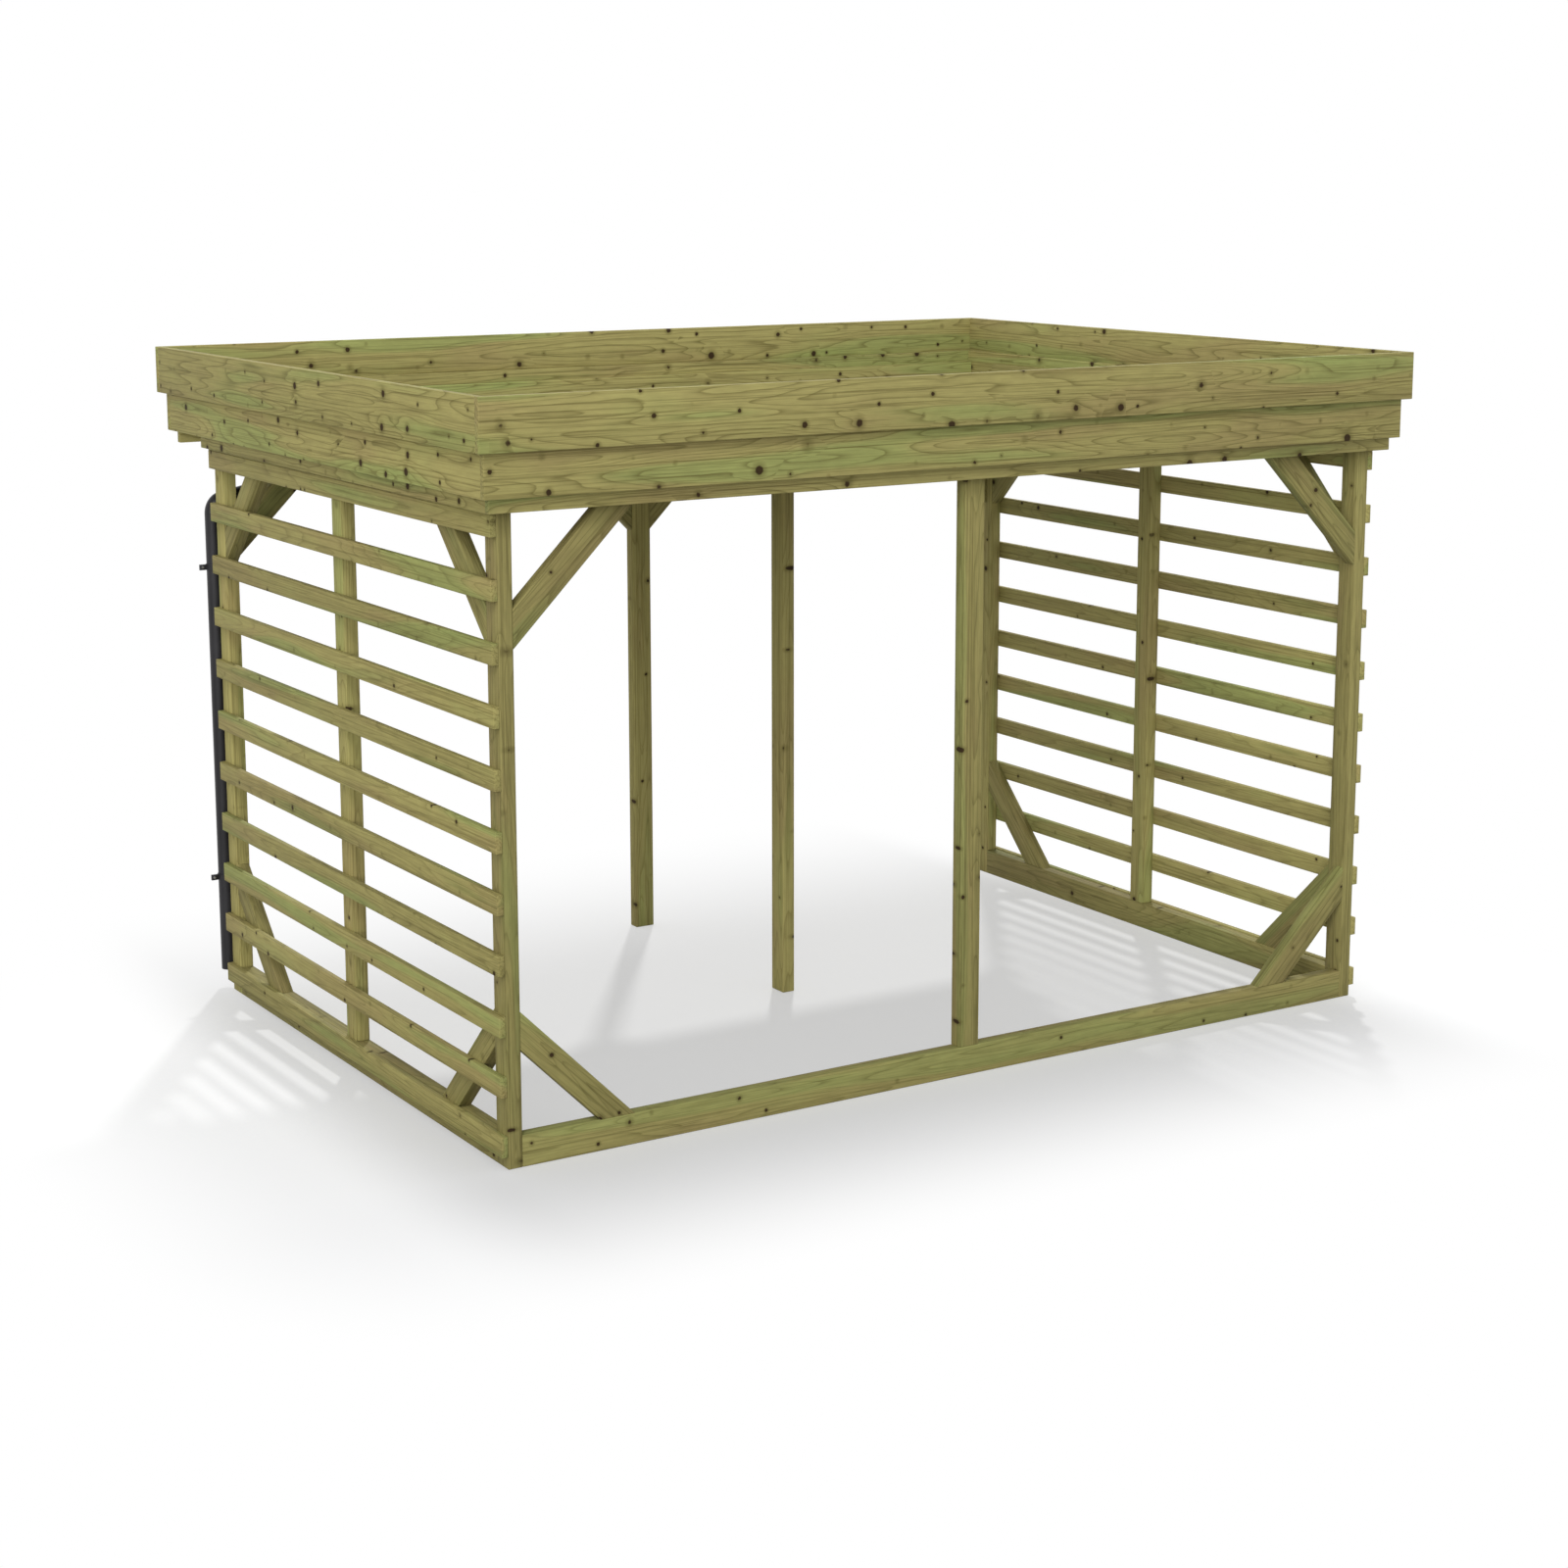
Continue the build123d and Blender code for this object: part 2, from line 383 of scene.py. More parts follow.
@dataclass(frozen=True)
class TreatedPine:
    """Sawn pine, pressure treated, with growth rings, green patches and dark knots.

    A run says how quickly a pattern changes along, across and through a board.
    A span says at which value of a pattern its effect starts and where it is full.
    """

    name: str
    pale: Colour = (0.318, 0.281, 0.102)
    ring: Colour = (0.090, 0.072, 0.019)
    green: Colour = (0.258, 0.292, 0.094)
    tan: Colour = (0.322, 0.266, 0.104)
    knot: Colour = (0.030, 0.015, 0.006)
    depth: float = 0.875
    ring_run: Scale = (0.95, 12.0, 12.0)
    ring_count: float = 15.0
    ring_power: float = 6.0
    ring_span: Span = (1.0, 0.92)
    ring_strength: float = 0.86
    wander_run: Scale = (6.0, 50.0, 50.0)
    wander_height: float = 0.022
    swell_height: float = 0.05
    fibre_run: Scale = (10.0, 380.0, 380.0)
    streak_run: Scale = (0.8, 130.0, 130.0)
    streak_span: Span = (0.48, 0.68)
    split_run: Scale = (2.2, 230.0, 230.0)
    split_span: Span = (0.69, 0.78)
    streak_strength: float = 0.42
    patch_run: Scale = (1.7, 7.0, 7.0)
    tan_span: Span = (0.50, 0.34)
    tan_strength: float = 0.85
    green_ring_span: Span = (0.54, 0.66)
    green_ring_strength: float = 0.85
    green_patch_span: Span = (0.56, 0.75)
    green_patch_strength: float = 0.3
    green_share: float = 0.88
    mottle_run: Scale = (14.0, 55.0, 55.0)
    base_light: float = 1.03
    tone_light: float = 0.20
    fibre_light: float = 0.65
    mottle_light: float = 0.45
    patch_light: float = 0.35
    knot_cell: Scale = (0.17, 0.08, 0.055)
    knot_jitter: float = 0.85
    knot_flatness: float = 0.4
    knot_least: float = 0.0062
    knot_most: float = 0.0160
    knot_power: float = 3.0
    knot_share: float = 0.70
    knot_doubt: float = 0.02
    knot_span: Span = (1.1, 0.75)
    knot_strength: float = 0.95
    halo_span: Span = (2.3, 0.9)
    halo_strength: float = 0.45
    swell_span: Span = (8.0, 0.3)
    ragged_run: Scale = (130.0, 130.0, 130.0)
    ragged_edge: float = 0.005
    ring_sink: float = 0.5
    ring_relief: float = 0.6
    fibre_relief: float = 0.4
    relief_height: float = 0.0009
    relief_strength: float = 0.35
    roughness: float = 0.70
    fibre_roughness: float = 0.2
    knot_roughness: float = 0.10
    gloss: float = 0.15

    def material(self) -> bpy.types.Material:
        """Builds the wood.

        Returns:
            The material.
        """
        tree = Tree.named(self.name)
        place = tree.attribute(GRAIN, "Vector")
        tone = tree.attribute(TONE_AND_PAINTED_LIGHT, "Fac")
        knot, halo, swell = self.knots(tree, place)
        slow = tree.noise(place, self.ring_run, 1.0, 0.35)
        wander = tree.noise(place, self.wander_run, 2.0)
        fibre = tree.noise(place, self.fibre_run, 3.0, 0.6)
        patch = tree.noise(place, self.patch_run, 2.0)
        mottle = tree.noise(place, self.mottle_run, 3.0, 0.6)
        height = slow + swell * self.swell_height + wander.swing(self.wander_height)
        rings = (height * self.ring_count).math("FRACT")
        late = (rings ** self.ring_power) * rings.step(*self.ring_span)
        wood = tree.mix(
            self.pale, self.tan, patch.step(*self.tan_span) * self.tan_strength
        )
        wood = tree.mix(wood, self.green, self.greenness(slow, patch))
        wood = tree.mix(wood, self.ring, late * self.ring_strength)
        for dark in self.streaks(tree, place):
            wood = tree.mix(wood, self.ring, dark * self.streak_strength)
        wood = tree.mix(wood, self.ring, halo * self.halo_strength)
        # The tone attribute holds random tone plus painted light, so tone_light scales
        # both.
        light = tone * self.tone_light + fibre.swing(self.fibre_light)
        light = light + mottle.swing(self.mottle_light) + patch.swing(self.patch_light)
        wood = tree.tinted(wood, (light + self.base_light) * self.depth)
        wood = tree.mix(wood, self.knot, knot * self.knot_strength)
        relief = (1.0 - late * self.ring_sink) * self.ring_relief
        relief = relief + fibre * self.fibre_relief
        rough = self.roughness + fibre.swing(self.fibre_roughness)
        return tree.finish(
            {
                "Base Color": wood,
                "Roughness": rough + knot * self.knot_roughness,
                "Specular IOR Level": self.gloss,
                "Normal": tree.bump(relief, self.relief_height, self.relief_strength),
            }
        )

    def greenness(self, slow: Value, patch: Value) -> Value:
        """Where the salts of the treatment show green.

        Args:
            slow: The noise that the growth rings follow.
            patch: The noise of the wide patches.

        Returns:
            The share of green, up to 1.
        """
        along_rings = slow.step(*self.green_ring_span) * self.green_ring_strength
        in_patches = patch.step(*self.green_patch_span) * self.green_patch_strength
        return ((along_rings + in_patches) * self.green_share).math("MINIMUM", 1.0)

    def streaks(self, tree: Tree, place: Value) -> Tuple[Value, Value]:
        """Straight dark lines along the board.

        Args:
            tree: The material's tree.
            place: The place along, across and through the board.

        Returns:
            The soft streaks and the fine splits.
        """
        streak = tree.noise(place, self.streak_run, 2.0, 0.6)
        split = tree.noise(place, self.split_run, 0.0)
        return streak.step(*self.streak_span), split.step(*self.split_span)

    def knots(self, tree: Tree, place: Value) -> Tuple[Value, Value, Value]:
        """Knots at random places on a loose grid, deeper than they are wide.

        Args:
            tree: The material's tree.
            place: The place along, across and through the board.

        Returns:
            The knot itself, the darker wood round it, and the rings' swell.
        """
        length, width, depth = self.knot_cell
        scaled = tree.scaled(place, (1 / length, 1 / width, 1 / depth))
        settings = {"voronoi_dimensions": "3D", "feature": "F1"}
        inputs = {"Vector": scaled, "Scale": 1.0, "Randomness": self.knot_jitter}
        centre = tree.node("ShaderNodeTexVoronoi", settings, inputs, "Position")
        colour = centre.beside("Color")
        draw = tree.node("ShaderNodeSeparateColor", {}, {0: colour})
        settings = {"operation": "SUBTRACT"}
        offset = tree.node("ShaderNodeVectorMath", settings, {0: scaled, 1: centre})
        near = tree.scaled(offset, (length, width, depth * self.knot_flatness))
        away = tree.node("ShaderNodeVectorMath", {"operation": "LENGTH"}, {0: near}, 1)
        ragged = tree.noise(place, self.ragged_run, 2.0)
        away = away + ragged.swing(self.ragged_edge)
        absent = 1.0 - self.knot_share
        present = draw.beside(1).step(absent, absent + self.knot_doubt)
        size = draw ** self.knot_power
        radius = size * (self.knot_most - self.knot_least) + self.knot_least

        def round_knot(span: Span) -> Value:
            """A fall from 1 to 0 round each knot, at shares of its radius."""
            return away.step(radius * span[0], radius * span[1]) * present

        swell = round_knot(self.swell_span) * size
        return round_knot(self.knot_span), round_knot(self.halo_span), swell


@dataclass(frozen=True)
class Plastic:
    """Moulded plastic with a faint cloud in its gloss."""

    name: str
    colour: Colour = (0.0125, 0.0120, 0.0135)
    roughness: float = 0.40
    gloss: float = 0.22
    cloud_run: Scale = (9.0, 9.0, 3.0)
    cloud_span: Span = (0.35, 0.75)
    cloud_roughness: float = 0.22
    dust_gain: float = 1.7
    dust_lift: float = 0.003
    grit_run: Scale = (700.0, 700.0, 700.0)
    grit_height: float = 0.0001
    grit_strength: float = 0.25

    def material(self) -> bpy.types.Material:
        """Builds the plastic.

        Returns:
            The material.
        """
        tree = Tree.named(self.name)
        place = tree.node("ShaderNodeTexCoord", {}, {}, "Object")
        cloud = tree.noise(place, self.cloud_run, 3.0)
        grit = tree.noise(place, self.grit_run, 1.0)
        dusty = tuple(part * self.dust_gain + self.dust_lift for part in self.colour)
        return tree.finish(
            {
                "Base Color": tree.mix(self.colour, dusty, cloud.step(*self.cloud_span)),
                "Roughness": self.roughness + cloud.swing(self.cloud_roughness),
                "Specular IOR Level": self.gloss,
                "Normal": tree.bump(grit, self.grit_height, self.grit_strength),
            }
        )


@dataclass(frozen=True)
class Felt:
    """Grey mineral roofing felt with pale grit."""

    name: str
    colour: Colour = (0.215, 0.222, 0.210)
    grit: Colour = (0.540, 0.545, 0.520)
    grain_run: Scale = (420.0, 420.0, 420.0)
    grain_span: Span = (0.40, 0.66)
    grain_height: float = 0.0008
    grain_strength: float = 0.6
    worn_run: Scale = (1.6, 3.5, 3.5)
    worn_least: float = 0.30
    worn_gain: float = 0.6
    damp_run: Scale = (0.9, 1.4, 1.4)
    damp_span: Span = (0.35, 0.62)
    damp_light: float = 0.16
    tone_light: float = 0.16
    base_light: float = 0.84
    roughness: float = 0.95
    worn_roughness: float = 0.12

    def material(self) -> bpy.types.Material:
        """Builds the felt.

        Returns:
            The material.
        """
        tree = Tree.named(self.name)
        place = tree.attribute(GRAIN, "Vector")
        tone = tree.attribute(TONE_AND_PAINTED_LIGHT, "Fac")
        grains = tree.noise(place, self.grain_run, 2.0, 0.7)
        worn = tree.noise(place, self.worn_run, 4.0, 0.6)
        damp = tree.noise(place, self.damp_run, 3.0, 0.6)
        cover = self.worn_least + worn * self.worn_gain
        felt = tree.mix(self.colour, self.grit, grains.step(*self.grain_span) * cover)
        light = tone * self.tone_light + damp.step(*self.damp_span) * self.damp_light
        return tree.finish(
            {
                "Base Color": tree.tinted(felt, light + self.base_light),
                "Roughness": self.roughness - worn * self.worn_roughness,
                "Normal": tree.bump(grains, self.grain_height, self.grain_strength),
            }
        )


@dataclass(frozen=True)
class Zinc:
    """Bright zinc of screws and straps."""

    name: str
    colour: Colour = (0.52, 0.52, 0.53)
    dullness: float = 0.72
    spangle_run: Scale = (160.0, 160.0, 160.0)
    spangle_span: Span = (0.35, 0.65)
    roughness: float = 0.34
    spangle_roughness: float = 0.25

    def material(self) -> bpy.types.Material:
        """Builds the metal.

        Returns:
            The material.
        """
        tree = Tree.named(self.name)
        place = tree.node("ShaderNodeTexCoord", {}, {}, "Object")
        spangle = tree.noise(place, self.spangle_run, 2.0)
        dull = tuple(part * self.dullness for part in self.colour)
        share = spangle.step(*self.spangle_span)
        return tree.finish(
            {
                "Base Color": tree.mix(dull, self.colour, share),
                "Roughness": self.roughness + spangle * self.spangle_roughness,
                "Metallic": 1.0,
            }
        )


class Finishes:
    """All the store's materials, each made once."""

    def __init__(self) -> None:
        """Makes the finishes."""
        self.fascia = TreatedPine("fascia_pine").material()
        self.frame = TreatedPine(
            "frame_pine",
            depth=0.79,
            green_share=0.62,
            ring_strength=0.62,
            knot_cell=(0.22, 0.07, 0.06),
            knot_most=0.0115,
        ).material()
        self.slat = TreatedPine(
            "slat_pine",
            depth=0.90,
            ring_strength=0.55,
            knot_cell=(0.28, 0.065, 0.05),
            knot_most=0.0095,
        ).material()
        self.deck = TreatedPine(
            "deck_pine",
            pale=(0.42, 0.36, 0.20),
            tan=(0.45, 0.34, 0.19),
            green=(0.38, 0.38, 0.19),
        ).material()
        self.felt = Felt("roofing_felt").material()
        self.pipe = Plastic("pipe_plastic").material()
        self.gutter = Plastic("gutter_plastic", roughness=0.45).material()
        self.zinc = Zinc("zinc").material()


def copied(node: str) -> bmesh.types.BMesh:
    """Copies a node of the frame and joins its loose triangles.

    Args:
        node: The node's name.

    Returns:
        The copy.
    """
    bm = bmesh.new()
    bm.from_mesh(frame["nodes"][node].data)
    bmesh.ops.remove_doubles(bm, verts=bm.verts[:], dist=MERGE_DISTANCE)
    return bm


def shown(
    name: str,
    bm: bmesh.types.BMesh,
    material: bpy.types.Material,
    nodes: Iterable[str] = (),
) -> bpy.types.Object:
    """Turns a finished bmesh into a piece of the store.

    Args:
        name: The piece's name.
        bm: Its mesh, which is freed.
        material: Its finish.
        nodes: The frame's nodes that it stands for.

    Returns:
        The new object.
    """
    bmesh.ops.recalc_face_normals(bm, faces=bm.faces[:])
    mesh = bpy.data.meshes.new(name)
    bm.to_mesh(mesh)
    bm.free()
    mesh.materials.append(material)
    mesh.polygons.foreach_set("use_smooth", [True] * len(mesh.polygons))
    mesh.set_sharp_from_angle(angle=SMOOTH_ANGLE)
    piece = bpy.data.objects.new(name, mesh)
    bpy.context.scene.collection.objects.link(piece)
    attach(piece, BODY)
    if nodes:
        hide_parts(*nodes)
    log.info("%s: %d faces", name, len(mesh.polygons))
    return piece


def eased(bm: bmesh.types.BMesh, width: float, segments: int = 1) -> None:
    """Rounds every sharp edge.

    Args:
        bm: The mesh.
        width: The width of the rounding.
        segments: Its steps.
    """
    sharp = [
        edge
        for edge in bm.edges
        if len(edge.link_faces) == 2 and edge.calc_face_angle() > EASED_ANGLE
    ]
    bmesh.ops.bevel(
        bm,
        geom=sharp,
        offset=width,
        offset_type="OFFSET",
        affect="EDGES",
        segments=segments,
        profile=0.5,
        material=-1,
        clamp_overlap=True,
    )


def islands(bm: bmesh.types.BMesh) -> List[List[bmesh.types.BMVert]]:
    """Splits a mesh into its separate boards.

    Args:
        bm: The mesh.

    Returns:
        The vertices of each board.
    """
    waiting = set(bm.verts)
    groups = []
    while waiting:
        group = [waiting.pop()]
        for vert in group:
            for edge in vert.link_edges:
                other = edge.other_vert(vert)
                if other in waiting:
                    waiting.remove(other)
                    group.append(other)
        groups.append(sorted(group, key=lambda item: item.index))
    return sorted(groups, key=lambda item: item[0].index)


@dataclass
class Timber:
    """Boards taken from the frame, with eased edges and a run of grain each."""

    material: bpy.types.Material
    slot: str
    draws: random.Random
    ease: float = 0.0022
    ease_steps: int = 2
    scatter: float = 40.0

    def board(self, node: str, lift: float = 0.0) -> bpy.types.Object:
        """Rebuilds one node of the frame.

        Args:
            node: The node's name.
            lift: How much lighter its wood is drawn than most, as painted light for faces
                that lie in shade.

        Returns:
            The new piece.
        """
        bm = copied(node)
        bmesh.ops.dissolve_limit(
            bm, angle_limit=FLAT_ANGLE, verts=bm.verts[:], edges=bm.edges[:]
        )
        self.lay_grain(bm, lift)
        eased(bm, self.ease, self.ease_steps)
        return shown("visual_" + node, bm, self.material, [node])

    def lay_grain(self, bm: bmesh.types.BMesh, lift: float = 0.0) -> None:
        """Writes where each vertex lies along and across its own board.

        Args:
            bm: The mesh, of one or more boards.
            lift: What is added to each board's random tone, as painted light for faces that
                lie in shade.
        """
        grain = bm.verts.layers.float_vector.new(GRAIN)
        tone = bm.verts.layers.float.new(TONE_AND_PAINTED_LIGHT)
        for sequence in (bm.verts, bm.edges, bm.faces):
            sequence.index_update()
        for group in islands(bm):
            along, across, through = self.directions(group)
            centre = sum((vert.co for vert in group), Vector()) / len(group)
            far = self.scatter
            shift = Vector([self.draws.uniform(-far, far) for _ in range(3)])
            # Random tone plus painted light: lift lightens boards whose faces lie in shade.
            shade = self.draws.random() + lift
            for vert in group:
                part = vert.co - centre
                place = Vector((part.dot(along), part.dot(across), part.dot(through)))
                vert[grain] = place + shift
                vert[tone] = shade

    @staticmethod
    def directions(group: Sequence[bmesh.types.BMVert]) -> Tuple[Vector, Vector, Vector]:
        """The board's length, width and thickness.

        Edges and faces are taken in the order of their numbers, because the first of
        equal ones decides.

        Args:
            group: The board's vertices.

        Returns:
            Three unit vectors at right angles.
        """
        edges = {edge.index: edge for vert in group for edge in vert.link_edges}
        ordered = [edges[index] for index in sorted(edges)]
        vectors = [edge.verts[1].co - edge.verts[0].co for edge in ordered]
        longest = max(vectors, key=lambda item: round(item.length, LENGTH_DIGITS))
        along = longest.normalized()
        faces = {face.index: face for vert in group for face in vert.link_faces}
        normals = [faces[index].normal for index in sorted(faces)]
        sides = [normal for normal in normals if abs(normal.dot(along)) < SIDE_LEAN]

        def reach(direction: Vector) -> float:
            """The board's extent in a direction."""
            places = [vert.co.dot(direction) for vert in group]
            return round(max(places) - min(places), LENGTH_DIGITS)

        across = max(sides, key=reach).normalized()
        return along, across, along.cross(across)


@dataclass
class Fascia:
    """The stepped surround of the roof, with what each side's tone is lifted by, as painted
    light for sides that lie in shade.
    """

    finishes: Finishes
    courses: int = 3
    # Painted light: the rear, left and right courses are drawn lighter, standing in for
    # light on their shaded faces.
    painted_light_lifts: Tuple[Tuple[Side, float], ...] = (
        (Side.FRONT, 0.0),
        (Side.REAR, 0.85),
        (Side.LEFT, 0.75),
        (Side.RIGHT, 0.55),
    )

    def build(self) -> None:
        """Builds the boards of every course."""
        boards = Timber(self.finishes.fascia, "fascia_timber", random.Random(5))
        for course in range(1, self.courses + 1):
            for side, lift in self.painted_light_lifts:
                boards.board("fascia_%d_%s" % (course, side.value), lift)


@dataclass
class OpenFrame:
    """Posts, rails, braces and the hidden beams, with painted light on the inner posts."""

    finishes: Finishes
    # Painted light: the middle, rear and centre posts are drawn lighter, standing in for
    # light in the shade under the roof.
    inner_painted_light: float = 1.9

    def build(self) -> None:
        """Builds each group of timbers."""
        # Painted light for each row of posts.
        painted_light_by_row = {"front": 0.0, "middle": self.inner_painted_light, "rear": self.inner_painted_light}
        posts = Timber(self.finishes.frame, "post_timber", random.Random(21))
        for row, lift in painted_light_by_row.items():
            for side in (Side.LEFT, Side.RIGHT):
                posts.board("post_%s_%s" % (row, side.value), lift)
        posts.board("post_centre", self.inner_painted_light)
        posts.board("post_front_middle")
        posts.board("post_rear_middle", self.inner_painted_light)
        rails = Timber(self.finishes.frame, "rail_timber", random.Random(22))
        for node in ("front_sill", "left_bottom_rail", "right_bottom_rail"):
            rails.board(node)
        braces = Timber(self.finishes.frame, "brace_timber", random.Random(23))
        for side in (Side.FRONT, Side.LEFT, Side.RIGHT):
            braces.board(side.value + "_upper_braces")
            braces.board(side.value + "_lower_braces")
        for node in ("rear_corner_braces", "rear_middle_braces"):
            braces.board(node)
        beams = Timber(self.finishes.frame, "beam_timber", random.Random(24))
        for node in (
            "front_header",
            "side_headers",
            "side_top_beams",
            "front_top_beam",
            "rear_top_beam",
            "centre_top_beam",
            "roof_joists",
        ):
            beams.board(node)


@dataclass
class SlatWalls:
    """The two walls of spaced slats, with painted light on each, more on the right."""

    finishes: Finishes
    # Painted light: both walls' slats are drawn lighter, the right one most, standing in
    # for light on shaded inner faces.
    painted_light_lifts: Tuple[Tuple[Side, float], ...] = ((Side.LEFT, 0.1), (Side.RIGHT, 0.6))

    def build(self) -> None:
        """Builds both walls."""
        slats = Timber(self.finishes.slat, "slat_timber", random.Random(31))
        for side, lift in self.painted_light_lifts:
            slats.board(side.value + "_slats", lift)


@dataclass
class Roof:
    """The deck of narrow boards and the felt over it."""

    finishes: Finishes
    board_width: float = 0.121
    board_gap: float = 0.0006
    groove: float = 0.003
    felt_strips: int = 3
    felt_lap: float = 0.08
    felt_rise: float = 0.0012
    felt_ease: float = 0.0008
    edge_reach: float = 1e-4

    def slope(self, node: str) -> Tuple[Vector, Vector, float]:
        """Finds a sloping sheet's corners and its thickness.

        Args:
            node: The sheet's node.

        Returns:
            The front underside corner at the left, the rear one at the right, and
            the thickness.
        """
        verts = [vert.co.copy() for vert in frame["nodes"][node].data.vertices]
        low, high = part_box(node)
        front = sorted(v.z for v in verts if abs(v.y - low.y) < self.edge_reach)
        rear = sorted(v.z for v in verts if abs(v.y - high.y) < self.edge_reach)
        start = Vector((low.x, low.y, front[0]))
        end = Vector((high.x, high.y, rear[0]))
        return start, end, front[-1] - front[0]

    def plank(
        self,
        bm: bmesh.types.BMesh,
        spans: Tuple[Tuple[float, float], Tuple[float, float]],
        sheet: Tuple[Vector, Vector, float],
    ) -> None:
        """Adds one sloping plank.

        Args:
            bm: The mesh that it joins.
            spans: Its span in X and its span in Y.
            sheet: The sheet that it lies in, as slope gives it.
        """
        (x0, x1), (y0, y1) = spans
        start, end, thickness = sheet
        fall = (end.z - start.z) / (end.y - start.y)
        made = bmesh.ops.create_cube(bm, size=1.0)["verts"]
        bmesh.ops.scale(bm, verts=made, vec=(x1 - x0, y1 - y0, thickness))
        middle = Vector(((x0 + x1) / 2, (y0 + y1) / 2, start.z + thickness / 2))
        bmesh.ops.translate(bm, verts=made, vec=middle)
        for vert in made:
            vert.co.z += fall * (vert.co.y - start.y)

    def build(self) -> None:
        """Builds the deck and the felt."""
        self.deck()
        self.felt()

    def deck(self) -> None:
        """Lays narrow boards side by side, from front to rear."""
        sheet = self.slope("roof_deck")
        start, end, _ = sheet
        bm = bmesh.new()
        count = round((end.x - start.x) / self.board_width)
        pitch = (end.x - start.x) / count
        for index in range(count):
            x0 = start.x + index * pitch
            x1 = x0 + pitch - self.board_gap
            self.plank(bm, ((x0, x1), (start.y, end.y)), sheet)
        Timber(self.finishes.deck, "roof_board", random.Random(41)).lay_grain(bm)
        eased(bm, self.groove)
        shown("visual_roof_deck", bm, self.finishes.deck, ["roof_deck"])

    def felt(self) -> None:
        """Lays strips of felt, each over the next one towards the gutter."""
        sheet = self.slope("roof_felt")
        start, end, thickness = sheet
        bm = bmesh.new()
        depth = (end.y - start.y - self.felt_lap) / self.felt_strips
        for index in range(self.felt_strips):
            y0 = start.y + index * depth
            lift = (self.felt_strips - 1 - index) * self.felt_rise
            rise = Vector((0, 0, lift))
            y1 = y0 + depth + self.felt_lap
            lifted = (start + rise, end + rise, thickness)
            self.plank(bm, ((start.x, end.x), (y0, y1)), lifted)
        Timber(self.finishes.felt, "roof_felt", random.Random(43)).lay_grain(bm)
        eased(bm, self.felt_ease)
        shown("visual_roof_felt", bm, self.finishes.felt, ["roof_felt"])


